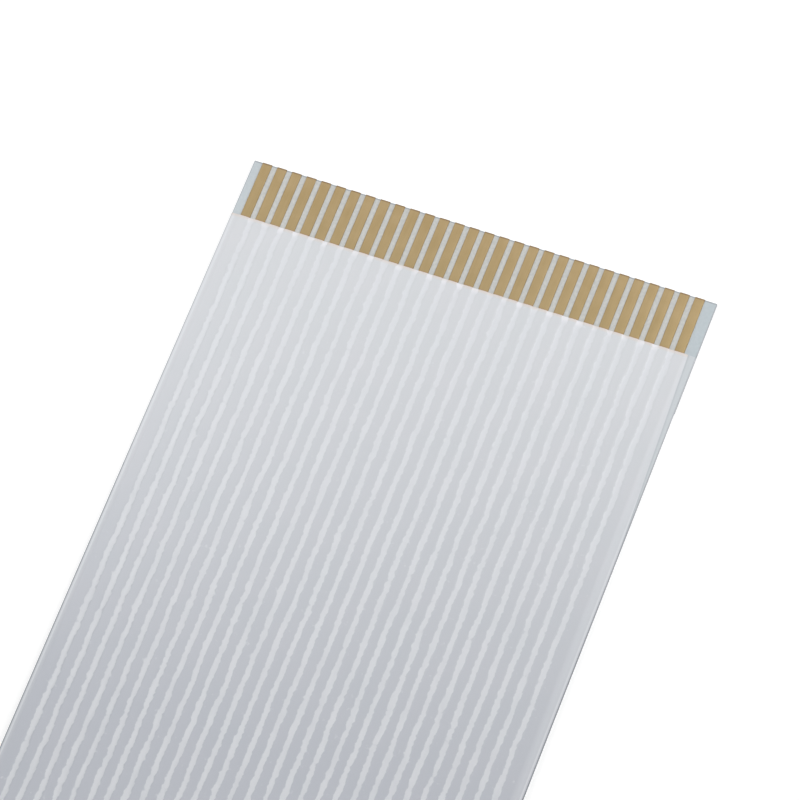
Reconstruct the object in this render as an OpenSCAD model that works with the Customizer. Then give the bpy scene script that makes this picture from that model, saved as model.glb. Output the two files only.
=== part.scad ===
// Flat flexible cable: a row of flat copper conductors at an even pitch, sealed
// between two polyester films and bare on top at both ends, where a stiffener
// backs them for a connector.
//
// The cable lies flat and straight. Y runs along it, X across it and Z up.
// The origin is the middle of the cable, on the surface that it lies on.

/* [Cable] */
// Number of conductors
ways = 30; // [2:1:50]
// Distance between the centres of neighbouring conductors
pitch = 1.0; // [0.8:0.05:2.54]
// Length of the cable from end to end
cable_length = 100; // [30:1:300]
// Distance from an outer conductor's centre to the cable's edge, both sides averaged
edge_margin = 1.0; // [0.8:0.05:2.5]
// Distance of the middle of the row from the middle of the cable, towards +X
row_offset = -0.12; // [-0.2:0.01:0.2]

/* [Conductors] */
// Width of a conductor
conductor_w = 0.65; // [0.3:0.01:0.75]
// Thickness of a conductor
conductor_t = 0.10; // [0.05:0.01:0.15]

/* [Films] */
// Thickness of one film, with its adhesive, over a conductor
film_t = 0.06; // [0.04:0.005:0.1]
// Height of the ridge that the film forms over a conductor
ridge_h = 0.04; // [0.01:0.005:0.05]
// Width of the slope at each side of a ridge
slope_w = 0.13; // [0.04:0.01:0.2]

/* [Contact ends] */
// Length of bare conductor at each end
contact_length = 4.0; // [2:0.1:6]
// Thickness of an end, from the stiffener's underside to the top of the contacts
end_t = 0.30; // [0.28:0.01:0.5]
// Length by which a stiffener runs on under the films
stiffener_lap = 4.0; // [1:0.1:8]
// Depth by which the stiffener's adhesive takes in the bare conductors
bed_depth = 0.03; // [0.01:0.005:0.04]

/* [Hidden] */
// Steps round half of a conductor's rolled edge, and along one slope of a ridge
EDGE_STEPS = 6;
SLOPE_STEPS = 6;

// Across the cable
cable_w = (ways - 1) * pitch + 2 * edge_margin;
gap_w = pitch - conductor_w;
slope = min(slope_w, 0.45 * gap_w); // two slopes and a valley share each gap

// Along the cable: where the films end and where the stiffener begins, on the +Y half
film_end = cable_length / 2 - contact_length;
stiffener_start = film_end - stiffener_lap;

// Heights above the surface: the films meet at the middle of the conductors
middle_z = end_t - conductor_t / 2;
bed_z = end_t - conductor_t + bed_depth;
valley_h = conductor_t / 2 + film_t - ridge_h; // of a film, above or below middle_z

FILM_COLOUR = [0.88, 0.90, 0.92, 0.75];
GOLD_COLOUR = [0.74, 0.62, 0.42];
STIFFENER_COLOUR = [0.76, 0.80, 0.84];

// conductor_01, conductor_02 and so on, from -X to +X
function conductor_name(i) = str("conductor_", i < 9 ? "0" : "", i + 1);
function conductor_x(i) = row_offset + (i - (ways - 1) / 2) * pitch;

// --- Sections across the cable: X across, Y for height ---

// Points round one rolled edge, turning half a circle from the angle given
function rolled_edge(x, from) = [
    for (k = [0 : EDGE_STEPS])
        let (a = from + 180 * k / EDGE_STEPS)
        [x + conductor_t / 2 * cos(a), conductor_t / 2 * sin(a)]
];

// A conductor is round wire rolled flat, so its two edges stay round
module conductor_section() {
    edge_x = (conductor_w - conductor_t) / 2;
    polygon(concat(rolled_edge(edge_x, -90), rolled_edge(-edge_x, 90)));
}

module row_of_sections() {
    for (i = [0 : ways - 1])
        translate([conductor_x(i), 0]) conductor_section();
}

// Rise of a ridge at a share s of its slope, from 0 at the valley to 1 at the top
function rise(s) = ridge_h * (1 - cos(180 * s)) / 2;

// Outline of the ridge over a conductor at x, from -X to +X
function ridge(x) = concat(
    [for (k = [0 : SLOPE_STEPS])
        let (s = k / SLOPE_STEPS)
        [x - conductor_w / 2 - slope * (1 - s), valley_h + rise(s)]],
    [for (k = [0 : SLOPE_STEPS])
        let (s = k / SLOPE_STEPS)
        [x + conductor_w / 2 + slope * s, valley_h + rise(1 - s)]]
);

// A film before it is pressed round the conductors: flat where it meets the other
// film, ridged on its outside
module embossed_strip() {
    outside = [for (i = [0 : ways - 1]) each ridge(conductor_x(i))];
    polygon(concat(
        [[-cable_w / 2, 0], [-cable_w / 2, valley_h]],
        outside,
        [[cable_w / 2, valley_h], [cable_w / 2, 0]]
    ));
}

module film_section() {
    difference() {
        embossed_strip();
        row_of_sections();
    }
}

// Under the bare conductors: they are bedded in the adhesive
module stiffener_bare_section() {
    difference() {
        translate([-cable_w / 2, 0]) square([cable_w, bed_z]);
        translate([0, middle_z]) row_of_sections();
    }
}

// Under the films: the adhesive fills the valleys of the lower film
module stiffener_lapped_section() {
    difference() {
        translate([-cable_w / 2, 0]) square([cable_w, middle_z]);
        translate([0, middle_z]) mirror([0, 1]) embossed_strip();
    }
}

// --- Pieces ---

// Draws a section out along Y, from one place to another
module along(from, to) {
    translate([0, to, 0]) rotate([90, 0, 0]) linear_extrude(height = to - from)
        children();
}

module conductor(i) {
    color(GOLD_COLOUR)
        translate([conductor_x(i), 0, middle_z])
            along(-cable_length / 2, cable_length / 2) conductor_section();
}

module upper_film() {
    color(FILM_COLOUR)
        translate([0, 0, middle_z])
            along(-film_end, film_end) film_section();
}

module lower_film() {
    color(FILM_COLOUR)
        translate([0, 0, middle_z]) mirror([0, 0, 1])
            along(-film_end, film_end) film_section();
}

// The stiffener at the +Y end
module stiffener() {
    color(STIFFENER_COLOUR) {
        along(film_end, cable_length / 2) stiffener_bare_section();
        along(stiffener_start, film_end) stiffener_lapped_section();
    }
}

module stiffener_rear() {
    stiffener();
}

module stiffener_front() {
    mirror([0, 1, 0]) stiffener();
}

stiffener_front();
stiffener_rear();
lower_film();
upper_film();
for (i = [0 : ways - 1])
    conductor(i);
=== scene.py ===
# %% [markdown]
# # Flat flexible cable
# A flat flexible cable is thirty flat copper conductors in a row, sealed between two white
# polyester films. At each end the top film stops short, so that the gold-plated ends of the
# conductors lie bare for a connector, and a strip of reinforcement tape backs them.
# The measured model is loaded first and stays fixed: every piece below takes its place from it.

# %% Load the measured model
import math

import bmesh
import bpy
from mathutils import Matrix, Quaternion, Vector, noise


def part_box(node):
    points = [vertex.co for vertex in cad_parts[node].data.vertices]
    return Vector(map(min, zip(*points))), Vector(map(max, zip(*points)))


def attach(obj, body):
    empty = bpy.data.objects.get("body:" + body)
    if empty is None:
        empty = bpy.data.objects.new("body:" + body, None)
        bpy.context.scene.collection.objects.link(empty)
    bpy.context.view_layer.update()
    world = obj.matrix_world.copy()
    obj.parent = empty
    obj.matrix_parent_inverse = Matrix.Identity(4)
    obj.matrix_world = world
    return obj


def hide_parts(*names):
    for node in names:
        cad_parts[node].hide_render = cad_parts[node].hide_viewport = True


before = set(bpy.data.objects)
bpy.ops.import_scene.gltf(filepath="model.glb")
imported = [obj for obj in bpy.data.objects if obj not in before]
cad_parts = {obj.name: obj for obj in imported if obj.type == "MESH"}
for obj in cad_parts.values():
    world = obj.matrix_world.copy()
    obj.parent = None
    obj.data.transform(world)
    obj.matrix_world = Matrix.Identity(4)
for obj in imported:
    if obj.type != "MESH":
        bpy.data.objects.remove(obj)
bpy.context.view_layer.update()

# %% [markdown]
# ## Sizes
# Lengths are in metres, and one millimetre has a name because the cable is thin: its films are
# a twentieth of a millimetre thick. The corners of the measured pieces give where the films
# stop, how high the contacts lie and where the row of conductors has its middle.

# %% Read the sizes from the model
MM = 0.001
CONDUCTORS = sorted(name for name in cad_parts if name.startswith("conductor_"))

cable_low, cable_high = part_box("stiffener_rear")
film_low, film_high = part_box("upper_film")
first_low, first_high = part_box(CONDUCTORS[0])
last_low, last_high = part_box(CONDUCTORS[-1])

CABLE_END = cable_high.y
FILM_END = film_high.y
SLIT_EDGE = film_high.x
RIDGE_TOP = film_high.z
MIDDLE_Z = film_low.z  # the films meet here, half way up the conductors
TAPE_TOP = cable_high.z
STRIP_W = first_high.x - first_low.x
STRIP_T = first_high.z - first_low.z
ROW_MIDDLE = (first_low.x + last_high.x) / 2
PITCH = (last_low.x - first_low.x) / (len(CONDUCTORS) - 1)
print(len(CONDUCTORS), "conductors", round(STRIP_W / MM, 3), "mm wide")
print("one every", round(PITCH / MM, 3), "mm")

# %% [markdown]
# ## Helpers for materials
# Colours are given as sRGB hex values, but a shader works with linear light, so one
# function turns the one into the other. A second one adds a node, with its settings and with
# what goes into its inputs: a number or colour is set, another node's output is linked. It gives
# back the output that the next node needs, which is nearly always the first one.

# %% Colours and nodes
def linear(hex_colour):
    shares = [int(hex_colour[i : i + 2], 16) / 255 for i in (1, 3, 5)]
    return [s / 12.92 if s <= 0.04045 else ((s + 0.055) / 1.055) ** 2.4 for s in shares] + [1]


def add(owner, kind, inputs, out=0, **settings):
    node = owner.node_tree.nodes.new("ShaderNode" + kind)
    for name, value in settings.items():
        setattr(node, name, value)
    for name, value in inputs.items():
        if isinstance(value, bpy.types.NodeSocket):
            owner.node_tree.links.new(value, node.inputs[name])
        else:
            node.inputs[name].default_value = value
    return node if out is None else node.outputs[out]


def new_material(name):
    material = bpy.data.materials.new(name)
    material.use_nodes = True
    material.node_tree.nodes.clear()
    return material


print("mid grey #808080 is", round(linear("#808080")[0], 3), "of white in linear light")

# %% [markdown]
# Every pattern here is laid out in millimetres along the cable, so the next helper gives the
# place of a point in millimetres, and its three parts. The object's own coordinates are used:
# they stay with the piece, whatever the camera does. The two ends of the cable are finished
# alike, so the patterns often use the distance from the middle, which is the same at both.

# %% A place in millimetres
def place_in_mm(material):
    place = add(material, "TexCoord", {}, out="Object")
    mm = add(material, "VectorMath", {0: place, "Scale": 1000.0}, operation="SCALE")
    return mm, add(material, "SeparateXYZ", {0: mm}, out=None).outputs


def from_middle(material, part, middle=0.0):
    off = add(material, "Math", {0: part, 1: middle}, operation="SUBTRACT")
    return add(material, "Math", {0: off}, operation="ABSOLUTE")


OUTER = (last_high.x - ROW_MIDDLE) / MM  # from the middle of the row to its outer edges, in mm
print("the row reaches", round(OUTER, 3), "mm to each side of its middle")

# %% [markdown]
# ## Gold-plated contacts
# The conductors are round copper wire, rolled flat, with about half a micrometre of gold plated
# over nickel on the bare ends. Rolling leaves fine lines along the strip, which blur its
# reflections, so the contacts are a flat satin tan rather than mirror-bright. The ends are
# sheared after plating, so bare copper shows on the cut. A metal's colour is its reflection, so
# the base colour is the colour that the eye sees, and every change along the strip goes there.

# %% Colour of the plating
def gold_colour(gold, mm, along, grain):
    # Plating varies a little over a millimetre or so, as the current did in the bath
    bath = add(gold, "TexNoise", {"Vector": mm, "Scale": 0.9, "Detail": 2.0})
    shade = add(gold, "Math", {0: grain, 1: bath}, operation="ADD")
    shade = add(gold, "MapRange", {0: shade, 1: 0.7, 2: 1.3})
    # Darker towards the film and lighter towards the cut end
    darker_tan = add(gold, "Mix", {0: shade, 6: linear("#A6926B"), 7: linear("#AE9973")}, 2, data_type="RGBA")
    bright = add(gold, "Mix", {0: shade, 6: linear("#AC956C"), 7: linear("#B59F79")}, 2, data_type="RGBA")
    towards_end = add(gold, "MapRange", {0: along, 1: FILM_END / MM, 2: CABLE_END / MM})
    colour = add(gold, "Mix", {0: towards_end, 6: darker_tan, 7: bright}, 2, data_type="RGBA")
    # Just past the film it is darker and browner: adhesive crept a tenth of a millimetre out from under
    # the film, with painted shade at the foot of the film's edge
    past_film = add(gold, "Math", {0: along, 1: FILM_END / MM}, operation="SUBTRACT")
    creep_and_shade = add(gold, "MapRange", {0: past_film, 1: 0.04, 2: 0.12, 3: 0.55, 4: 0.0})
    colour = add(gold, "Mix", {0: creep_and_shade, 6: colour, 7: linear("#9C7F63")}, 2, data_type="RGBA")
    cut = add(gold, "MapRange", {0: along, 1: CABLE_END / MM - 0.11, 2: CABLE_END / MM - 0.05})
    return add(gold, "Mix", {0: cut, 6: colour, 7: linear("#8A7256")}, 2, data_type="RGBA")


# %% Gold plating over rolled copper
def gold_plated_copper():
    # Plated metal: fully metallic, satin from the rolling lines, darker where it was sheared
    gold = new_material("gold-plated rolled copper")
    mm, at = place_in_mm(gold)
    # Rolling lines: 0.04 mm apart, several millimetres long. Real ones are finer: these show.
    lines = add(gold, "VectorMath", {0: mm, 1: (25.0, 0.4, 25.0)}, operation="MULTIPLY")
    grain = add(gold, "TexNoise", {"Vector": lines, "Scale": 1.0, "Detail": 3.0})
    colour = gold_colour(gold, mm, from_middle(gold, at["Y"]), grain)
    rough = add(gold, "MapRange", {0: grain, 1: 0.3, 2: 0.7, 3: 0.42, 4: 0.52})
    bump = add(gold, "Bump", {"Height": grain, "Strength": 0.25, "Distance": 0.002 * MM})
    shader = add(gold, "BsdfPrincipled",
        {"Base Color": colour, "Metallic": 1.0, "Roughness": rough, "Normal": bump})
    add(gold, "OutputMaterial", {"Surface": shader}, out=None)
    return gold


GOLD = gold_plated_copper()
print(GOLD.name, len(GOLD.node_tree.nodes), "nodes")

# %% [markdown]
# ## Flat conductors
# One strip is a long bar a tenth of a millimetre thick. It could be a curve with a flat bevel,
# but a bar whose long edges are bevelled by nearly half its thickness gives the same rolled
# round edges and keeps the cut ends under control. The shears leave a tiny round on the ends.

# %% Shape of one conductor
def conductor_shape(low, high):
    bm = bmesh.new()
    bmesh.ops.create_cube(bm, size=1)
    bmesh.ops.scale(bm, vec=high - low, verts=bm.verts)
    bmesh.ops.translate(bm, vec=(low + high) / 2, verts=bm.verts)
    long_edges = [e for e in bm.edges if abs(e.verts[0].co.y - e.verts[1].co.y) > MM]
    bmesh.ops.bevel(bm, geom=long_edges, offset=0.46 * STRIP_T, offset_type="OFFSET",
        segments=4, profile=0.5, affect="EDGES", material=-1)
    ends = [e for e in bm.edges if e.calc_face_angle() > math.radians(60)]
    bmesh.ops.bevel(bm, geom=ends, offset=0.008 * MM, offset_type="OFFSET",
        segments=2, profile=0.5, affect="EDGES", material=-1, clamp_overlap=True)
    return bm


test = conductor_shape(first_low, first_high)
print("a conductor has", len(test.faces), "faces")
test.free()


# %% [markdown]
# Every new piece goes through the same steps: its bmesh becomes a mesh, its object joins the
# scene at the origin, it rides on the cable's one body, and it stands for a measured node.

# %% Make a piece, and the thirty conductors
def make_piece(name, bm, material, node):
    mesh = bpy.data.meshes.new(name)
    bm.to_mesh(mesh)
    bm.free()
    mesh.materials.append(material)
    piece = bpy.data.objects.new(name, mesh)
    bpy.context.collection.objects.link(piece)
    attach(piece, "root")
    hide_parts(node)
    return piece


for node in CONDUCTORS:
    strip = make_piece("flat_" + node, conductor_shape(*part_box(node)), GOLD, node)
    for face in strip.data.polygons:
        face.use_smooth = abs(face.normal.y) < 0.5
print(len(CONDUCTORS), "conductors, the last one with", len(strip.data.polygons), "faces")

# %% [markdown]
# ## White polyester film
# The films are matt white polyester with a layer of heat-seal adhesive inside. They are a little
# milky: over the gaps, where film lies on film, they look whitest, and over a conductor the metal
# behind takes some of the white away. Painted stripes at an even pitch would look printed, so the
# white follows the height of the pressed surface, which is lowest over the gaps.

# %% Where a point is on a film
RIDGE = (RIDGE_TOP - MIDDLE_Z) / MM  # from where the films meet to the top of a ridge, in mm


def film_places(film):
    mm, at = place_in_mm(film)
    across, along = from_middle(film, at["X"]), from_middle(film, at["Y"])
    return {
        "mm": mm,
        "x": at["X"],
        "height": from_middle(film, at["Z"], MIDDLE_Z / MM),
        "row": from_middle(film, at["X"], ROW_MIDDLE / MM),
        "rim": add(film, "Math", {0: SLIT_EDGE / MM, 1: across}, operation="SUBTRACT"),
        "inwards": add(film, "Math", {0: FILM_END / MM, 1: along}, operation="SUBTRACT"),
    }


print("a ridge rises to", round(RIDGE, 3), "mm from where the films meet")


# %% Sealed stripes
RAGGED = 0.07  # strength of the noise on the height
SEAL_FROM, SEAL_FULL = 0.010, 0.029  # the white starts and is full this far below a ridge, in mm


def sealed_stripes(film, at):
    # A noise on the height leaves the edge of the white a little ragged, by some 0.02 mm. The
    # noise is about 0.5 on average, so half of its strength is added to the two limits as well.
    ragged = add(film, "TexNoise", {"Vector": at["mm"], "Scale": 2.5, "Detail": 2.0})
    height = add(film, "Math", {0: ragged, 1: RAGGED, 2: at["height"]}, operation="MULTIPLY_ADD")
    top = RIDGE + 0.5 * RAGGED
    stripe = add(film, "MapRange", {0: height, 1: top - SEAL_FROM, 2: top - SEAL_FULL},
        interpolation_type="SMOOTHSTEP")
    inner = add(film, "MapRange", {0: at["row"], 1: OUTER - 0.08, 2: OUTER - 0.04, 3: 1.0, 4: 0.0})
    return add(film, "Math", {0: stripe, 1: inner}, operation="MULTIPLY")


def whiteness(film, at, stripe):
    # The seal isn't even along a gap: it comes and goes over a few millimetres
    drawn = add(film, "VectorMath", {0: at["mm"], 1: (1.0, 0.45, 1.0)}, operation="MULTIPLY")
    patch = add(film, "TexNoise", {"Vector": drawn, "Scale": 1.1, "Detail": 3.0})
    patch = add(film, "MapRange", {0: patch, 1: 0.3, 2: 0.7, 3: 0.8, 4: 1.1})
    white = add(film, "Math", {0: stripe, 1: patch}, operation="MULTIPLY")
    # Painted highlight along the slit edge: the margins whiten towards it, and a fine bright line runs
    # 0.17 mm from it
    edge_sheen = add(film, "MapRange", {0: at["row"], 1: OUTER, 2: OUTER + 0.35, 3: 0.0, 4: 0.4})
    line = from_middle(film, at["rim"], 0.17)
    line = add(film, "MapRange", {0: line, 1: 0.01, 2: 0.07, 3: 0.6, 4: 0.0})
    margin = add(film, "Math", {0: edge_sheen, 1: line})
    return add(film, "Math", {0: white, 1: margin}, use_clamp=True)


# %% [markdown]
# Over the conductors the film is painted paler towards the contact windows: this is painted sheen
# of the metal under the film, which fades along the cable. Two pairs of near colours, mixed by a
# cloud of noise about three millimetres wide, keep a plain white from looking dead.

# %% Colour of the film
def film_colour(film, at, white):
    cloud = add(film, "TexNoise", {"Vector": at["mm"], "Scale": 0.35, "Detail": 3.0})
    far = add(film, "Mix", {0: cloud, 6: linear("#BCC1C9"), 7: linear("#C2C4CC")}, 2, data_type="RGBA")
    near = add(film, "Mix", {0: cloud, 6: linear("#D1D5D8"), 7: linear("#D6D7DB")}, 2, data_type="RGBA")
    # Painted sheen: over the conductors the film is paler towards each window
    window_sheen = add(film, "MapRange", {0: at["inwards"], 1: 34.0, 2: 0.0})
    metal = add(film, "Mix", {0: window_sheen, 6: far, 7: near}, 2, data_type="RGBA")
    sealed = add(film, "Mix", {0: cloud, 6: linear("#DADEE2"), 7: linear("#DDDEE3")}, 2,
        data_type="RGBA")
    return add(film, "Mix", {0: white, 6: metal, 7: sealed}, 2, data_type="RGBA")


# %% [markdown]
# Along each window the film was pinched against the contacts. Some gaps are whiter there, where
# adhesive pooled, with a painted highlight on its small mound. Its lip takes a warm tint from the
# metal and the adhesive under it. Near each window the right margin shows a greyer sliver, with
# painted shade along its inner border. The slit edges are painted grey: the cut edge, with painted
# shade that deepens away from the windows.

# %% Windows and slit edges
def window_edge(film, at, stripe, colour):
    lip = add(film, "MapRange", {0: at["inwards"], 1: 0.24, 2: 0.02, 3: 0.0, 4: 0.8})
    colour = add(film, "Mix", {0: lip, 6: colour, 7: linear("#DCCFC6")}, 2, data_type="RGBA")
    some = add(film, "TexNoise", {"Vector": at["mm"], "Scale": 0.7, "Detail": 1.0})
    some = add(film, "MapRange", {0: some, 1: 0.42, 2: 0.62, 3: 0.1, 4: 1.0})
    # Painted highlight: some gaps are whiter right at the window, on the small mound of pooled adhesive
    pool_and_highlight = add(film, "MapRange", {0: at["inwards"], 1: 0.5, 2: 0.15},
        interpolation_type="SMOOTHSTEP")
    pool_and_highlight = add(film, "Math", {0: pool_and_highlight, 1: some}, operation="MULTIPLY")
    pool_and_highlight = add(film, "Math", {0: pool_and_highlight, 1: stripe}, operation="MULTIPLY")
    return add(film, "Mix", {0: pool_and_highlight, 6: colour, 7: linear("#E9E9EE")}, 2, data_type="RGBA")


def side_edges(film, at, colour):
    # The sliver is half a millimetre wide at the window and narrows to nothing in 16 mm
    reach = add(film, "Math", {0: at["inwards"], 1: -0.0333, 2: 0.54}, operation="MULTIPLY_ADD")
    sliver = add(film, "Math", {0: reach, 1: at["rim"]}, operation="SUBTRACT")
    # Painted shade: the sliver is darkest along its inner border, as a hairline shadow of the film's edge
    sliver_shade = add(film, "MapRange", {0: sliver, 1: 0.06, 2: 0.16})
    sliver_shade = add(film, "Mix", {0: sliver_shade, 6: linear("#BEC3C8"), 7: linear("#C9CED2")}, 2, data_type="RGBA")
    right = add(film, "Math", {0: at["x"], 1: 0.0}, operation="GREATER_THAN")
    sliver = add(film, "MapRange", {0: sliver, 1: 0.0, 2: 0.04})
    sliver = add(film, "Math", {0: sliver, 1: right}, operation="MULTIPLY")
    colour = add(film, "Mix", {0: sliver, 6: colour, 7: sliver_shade}, 2, data_type="RGBA")
    # The slit edge is painted grey: the cut edge, with painted shade that is faint at the window and full
    # 22 mm further on
    slit = add(film, "MapRange", {0: at["rim"], 1: 0.075, 2: 0.03})
    shade_along = add(film, "MapRange", {0: at["inwards"], 1: 0.0, 2: 22.0, 3: 0.22, 4: 0.85})
    slit = add(film, "Math", {0: slit, 1: shade_along}, operation="MULTIPLY")
    return add(film, "Mix", {0: slit, 6: colour, 7: linear("#646C72")}, 2, data_type="RGBA")


# %% Matt white film
def white_polyester_film():
    # Drawn polyester: a smooth satin surface, IOR 1.57, finely grained by the rollers
    film = new_material("white polyester film")
    at = film_places(film)
    stripe = sealed_stripes(film, at)
    colour = film_colour(film, at, whiteness(film, at, stripe))
    colour = side_edges(film, at, window_edge(film, at, stripe, colour))
    # Grain of a tenth of a millimetre, as the embossing rollers leave it
    grain = add(film, "TexNoise", {"Vector": at["mm"], "Scale": 9.0, "Detail": 3.0})
    rough = add(film, "MapRange", {0: grain, 1: 0.3, 2: 0.7, 3: 0.42, 4: 0.52})
    bump = add(film, "Bump", {"Height": grain, "Strength": 0.2, "Distance": 0.004 * MM})
    shader = add(film, "BsdfPrincipled",
        {"Base Color": colour, "IOR": 1.57, "Roughness": rough, "Normal": bump})
    add(film, "OutputMaterial", {"Surface": shader}, out=None)
    return film


FILM = white_polyester_film()
print(FILM.name, len(FILM.node_tree.nodes), "nodes")

# %% [markdown]
# ## The two films
# A film is pressed round the conductors, so each ridge wanders a little along the cable, and it
# has a rounder back than the measured films, whose ridges are straight. A copy of one is welded
# and its flat faces are made whole, its long outside edges are cut every half millimetre, and
# then the slopes of each ridge are widened and moved by a slow noise. The inside stays as it is,
# so the film still fits round its conductors.

# %% Weld a copy and cut it along its length
STATION = 0.5 * MM


def outside(vert):
    return abs(vert.co.z - MIDDLE_Z) > 0.06 * MM


def film_copy(node):
    bm = bmesh.new()
    bm.from_mesh(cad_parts[node].data)
    bmesh.ops.remove_doubles(bm, verts=bm.verts, dist=0.001 * MM)
    bmesh.ops.dissolve_limit(bm, angle_limit=math.radians(0.5), verts=bm.verts, edges=bm.edges)
    long_edges = [e for e in bm.edges if e.calc_length() > FILM_END]
    long_edges = [e for e in long_edges if all(outside(v) for v in e.verts)]
    cuts = round(2 * FILM_END / STATION) - 1
    bmesh.ops.subdivide_edges(bm, edges=long_edges, cuts=cuts, use_grid_fill=True)
    return bm


test = film_copy("upper_film")
print("a film has", len(test.verts), "points and", len(test.faces), "faces")
test.free()


# %% [markdown]
# The slopes beside one gap wander together, and each a little by itself. The two outermost slopes
# have no neighbour, and spread into the margin instead.

# %% How far a slope moves, in millimetres
SLOPE = 0.13 * MM  # width of a slope on the measured films


def wander(y, row, length):
    return noise.noise(Vector((y / length, 7.37 * row, 2.9)))


def slope_step(y, i, side, sheet):
    gap = sheet + (i + 1 if side > 0 else i)
    slope = sheet + 100 + 2 * i + (1 if side > 0 else 0)
    step = 0.04 * wander(y, gap, 6 * MM) + 0.06 * wander(y, gap + 50, 1.7 * MM)
    return step + 0.05 * wander(y, slope, 1.9 * MM) + 0.05 * wander(y, slope + 200, 1.1 * MM)


print("a slope moves by", [round(slope_step(y * MM, 3, 1, 0), 3) for y in (0, 1, 2, 3)], "mm")


# %% Press the ridges of a film
WIDEN = 0.85  # the slopes become this share wider, towards the middle of the ridge
SPREAD = 1.6  # and the outermost ones this share wider, towards the slit edge
DIP = 0.03 * MM  # the gaps are wider by this at each side, right at the window


def press(bm, sheet):
    half, last = STRIP_W / 2, len(CONDUCTORS) - 1
    for vert in (v for v in bm.verts if outside(v)):
        x, y = vert.co.x, vert.co.y
        i = min(max(round((x - ROW_MIDDLE) / PITCH + last / 2), 0), last)
        off = x - ROW_MIDDLE - (i - last / 2) * PITCH
        side = 1 if off > 0 else -1
        foot = half + SLOPE - abs(off)  # distance from the foot of the slope
        if foot < -0.01 * MM:
            continue
        if i == (last if side > 0 else 0):
            vert.co.x += side * SPREAD * (SLOPE - foot)
        else:
            vert.co.x -= side * WIDEN * foot
            if FILM_END - abs(y) < 0.1 * MM:
                vert.co.x -= side * DIP
            vert.co.x += slope_step(y, i, side, sheet) * MM


SHEETS = {"upper_cover_film": ("upper_film", 0), "lower_cover_film": ("lower_film", 500)}
for name, (node, sheet) in SHEETS.items():
    bm = film_copy(node)
    press(bm, sheet)
    film = make_piece(name, bm, FILM, node)
    print(name, "has", sum(len(p.vertices) - 2 for p in film.data.polygons), "triangles")

# %% [markdown]
# ## Reinforcement tape
# The stiffener is clear polyester, a quarter of a millimetre thick, with adhesive on top. Over a
# white bench it looks a pale blue-grey, a little bluer in the margins than between the contacts,
# where specks in the adhesive scatter the light. Its own shape is right, so the measured piece
# stays and only gets its material.

# %% Colour of the tape
def tape_colour(tape, mm, at):
    speck = add(tape, "TexNoise", {"Vector": mm, "Scale": 5.0, "Detail": 3.0})
    speck = add(tape, "MapRange", {0: speck, 1: 0.35, 2: 0.65})
    between = add(tape, "Mix", {0: speck, 6: linear("#BEC0BE"), 7: linear("#CACBC8")}, 2,
        data_type="RGBA")
    # The tape is a shade deeper on its right
    pale = add(tape, "Mix", {0: speck, 6: linear("#BEC6CB"), 7: linear("#C2CACE")}, 2, data_type="RGBA")
    deep = add(tape, "Mix", {0: speck, 6: linear("#B8C2C7"), 7: linear("#BDC6CB")}, 2, data_type="RGBA")
    right = add(tape, "MapRange", {0: at["X"], 1: -SLIT_EDGE / MM, 2: SLIT_EDGE / MM})
    edge = add(tape, "Mix", {0: right, 6: pale, 7: deep}, 2, data_type="RGBA")
    margin = from_middle(tape, at["X"], ROW_MIDDLE / MM)
    margin = add(tape, "MapRange", {0: margin, 1: OUTER - 0.1, 2: OUTER + 0.1})
    return add(tape, "Mix", {0: margin, 6: between, 7: edge}, 2, data_type="RGBA")


# %% Reinforcement tape
def reinforcement_tape():
    # Clear polyester over white: a smooth satin surface, IOR 1.57, with grey cut edges
    tape = new_material("polyester reinforcement tape")
    mm, at = place_in_mm(tape)
    colour = tape_colour(tape, mm, at)
    across, along = from_middle(tape, at["X"]), from_middle(tape, at["Y"])
    slit = add(tape, "MapRange", {0: across, 1: SLIT_EDGE / MM - 0.05, 2: SLIT_EDGE / MM - 0.02})
    cut = add(tape, "MapRange", {0: along, 1: CABLE_END / MM - 0.11, 2: CABLE_END / MM - 0.06})
    edge = add(tape, "Math", {0: slit, 1: cut}, operation="MAXIMUM")
    colour = add(tape, "Mix", {0: edge, 6: colour, 7: linear("#A0A7AC")}, 2, data_type="RGBA")
    soft = add(tape, "TexNoise", {"Vector": mm, "Scale": 3.0, "Detail": 4.0})
    bump = add(tape, "Bump", {"Height": soft, "Strength": 0.3, "Distance": 0.01 * MM})
    rough = add(tape, "MapRange", {0: soft, 1: 0.3, 2: 0.7, 3: 0.32, 4: 0.40})
    shader = add(tape, "BsdfPrincipled",
        {"Base Color": colour, "IOR": 1.57, "Roughness": rough, "Normal": bump})
    add(tape, "OutputMaterial", {"Surface": shader}, out=None)
    return tape


TAPE = reinforcement_tape()
for name in ("stiffener_rear", "stiffener_front"):
    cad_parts[name].data.materials.clear()
    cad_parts[name].data.materials.append(TAPE)
print(TAPE.name, len(TAPE.node_tree.nodes), "nodes")

# %% [markdown]
# ## Bench
# The cable lies on a plain white bench. The bench only shows to the camera, with its shadows;
# for every other ray it lets the white world through, so the underside of the cable is lit too.

# %% The bench
def white_bench():
    # Matt white laminate: a plain diffuse white, lifted so that it reads as white
    white = new_material("white bench")
    behind = add(white, "NewGeometry", {}, out="Backfacing")
    front = add(white, "Math", {0: 1.0, 1: behind}, operation="SUBTRACT")
    path = add(white, "LightPath", {}, out="Is Camera Ray")
    seen = add(white, "Math", {0: path, 1: front}, operation="MULTIPLY")
    matt = add(white, "BsdfDiffuse", {"Color": linear("#C4C4C4")})
    lift = add(white, "Emission", {"Color": linear("#FFFFFF"), "Strength": 0.58})
    both = add(white, "AddShader", {0: matt, 1: lift})
    clear = add(white, "BsdfTransparent", {})
    surface = add(white, "MixShader", {0: seen, 1: clear, 2: both})
    add(white, "OutputMaterial", {"Surface": surface}, out=None)
    return white


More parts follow.
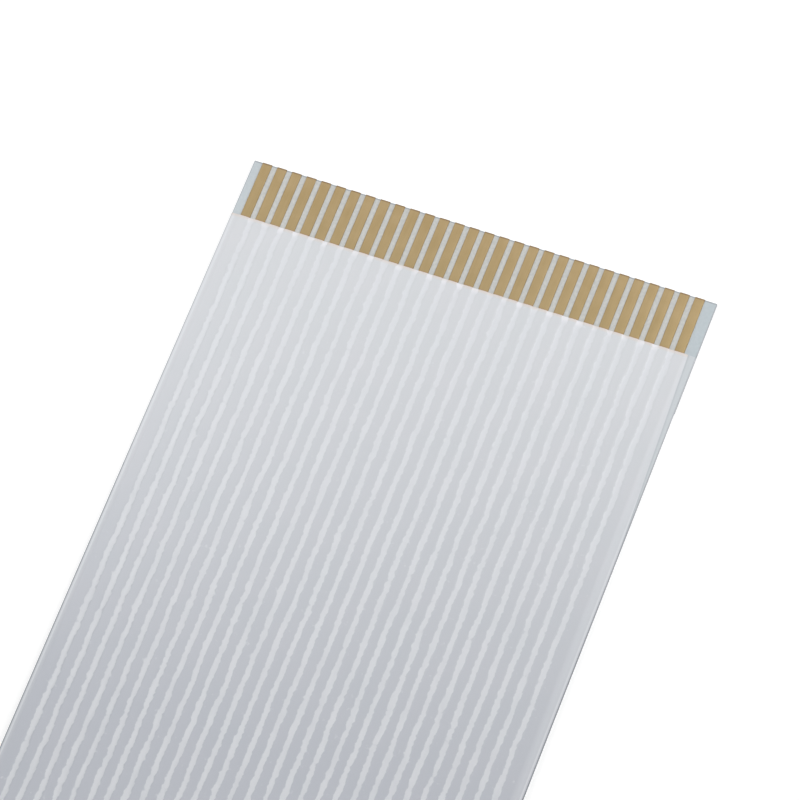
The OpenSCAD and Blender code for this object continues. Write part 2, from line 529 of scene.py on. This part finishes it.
bm = bmesh.new()
bmesh.ops.create_grid(bm, x_segments=8, y_segments=8, size=1.5)
bmesh.ops.translate(bm, vec=(0, 0, -0.002 * MM), verts=bm.verts)
mesh = bpy.data.meshes.new("bench")
bm.to_mesh(mesh)
bm.free()
mesh.materials.append(white_bench())
bench = bpy.data.objects.new("bench", mesh)
bpy.context.collection.objects.link(bench)
print("bench", [round(s, 2) for s in bench.dimensions], "m")

# %% [markdown]
# ## Light
# A white world seen by the camera and by mirror-like rays stands for a white tent. It gives only
# part of the light on the cable. Soft lamps over the ends give most of the rest, so the light
# falls off gently towards the middle of the cable, and one further lamp at the side shows the
# ridges. The two ends are lit alike, turned by half a circle.

# %% World and lamps
world = bpy.data.worlds.new("white tent")
bpy.context.scene.world = world
world.use_nodes = True
world.node_tree.nodes.clear()
TENT_ABOVE, TENT_BELOW = 0.50, 0.85
rays = add(world, "LightPath", {}, out=None).outputs
seen = add(world, "Math", {0: rays["Is Camera Ray"], 1: rays["Is Glossy Ray"]}, operation="MAXIMUM")
seen = add(world, "Math", {0: seen, 1: rays["Is Transmission Ray"]}, operation="MAXIMUM")
up = add(world, "SeparateXYZ", {0: add(world, "TexCoord", {}, out="Generated")}, out="Z")
tent = add(world, "MapRange", {0: up, 1: -0.02, 2: 0.02, 3: TENT_BELOW, 4: TENT_ABOVE})
level = add(world, "Mix", {0: seen, 2: tent, 3: 1.0}, data_type="FLOAT")
glow = add(world, "Background", {"Color": linear("#FFFFFF"), "Strength": level})
add(world, "OutputWorld", {"Surface": glow}, out=None)
print("the tent is at", TENT_ABOVE, "of white above and", TENT_BELOW, "below")


def soft_lamp(name, place, aim, size, watts):
    lamp = bpy.data.lights.new(name, "AREA")
    lamp.shape = "DISK"
    lamp.size = size
    lamp.energy = watts
    thing = bpy.data.objects.new(name, lamp)
    thing.location = place
    thing.rotation_mode = "QUATERNION"
    thing.rotation_quaternion = (Vector(aim) - Vector(place)).to_track_quat("-Z", "Y")
    thing.visible_camera = False
    bpy.context.collection.objects.link(thing)
    return thing


LAMPS = [soft_lamp("lamp_side", (0.30, 0.02, 0.20), (0, 0, 0), 0.15, 0.14)]
LAMP_HEIGHT, LAMP_SIZE = 0.045, 0.03
for end, turn in (("rear", 1), ("front", -1)):
    aim = (0, turn * 0.046, 0)
    for side, x, y, watts in (("right", 0.030, 0.060, 0.0080), ("left", -0.030, 0.046, 0.0075)):
        place = (turn * x, turn * y, LAMP_HEIGHT)
        LAMPS.append(soft_lamp("lamp_" + end + "_" + side, place, aim, LAMP_SIZE, watts))
print(len(LAMPS), "lamps")

# %% [markdown]
# ## Camera
# A long lens from well above, turned a little to the right of the cable, keeps the ridges nearly
# parallel. It looks at a point on the cable near its rear end.

# %% The camera
AZIMUTH, ELEVATION, ROLL = (math.radians(a) for a in (25.612, 63.725, -5.650))
TARGET = Vector((-0.849, 37.163, 0.30)) * MM
DISTANCE = 362.63 * MM
flat = math.cos(ELEVATION)
back = Vector((math.sin(AZIMUTH) * flat, -math.cos(AZIMUTH) * flat, math.sin(ELEVATION)))
camera = bpy.data.objects.new("camera", bpy.data.cameras.new("camera"))
camera.data.sensor_width = 36
camera.data.lens = 262.96
camera.data.clip_start, camera.data.clip_end = 0.01, 10
camera.location = TARGET + back * DISTANCE
camera.rotation_mode = "QUATERNION"
camera.rotation_quaternion = (-back).to_track_quat("-Z", "Y") @ Quaternion((0, 0, 1), ROLL)
bpy.context.collection.objects.link(camera)
bpy.context.scene.camera = camera
bpy.context.scene.view_settings.view_transform = "Standard"
print("the camera is", round(DISTANCE, 3), "m away")
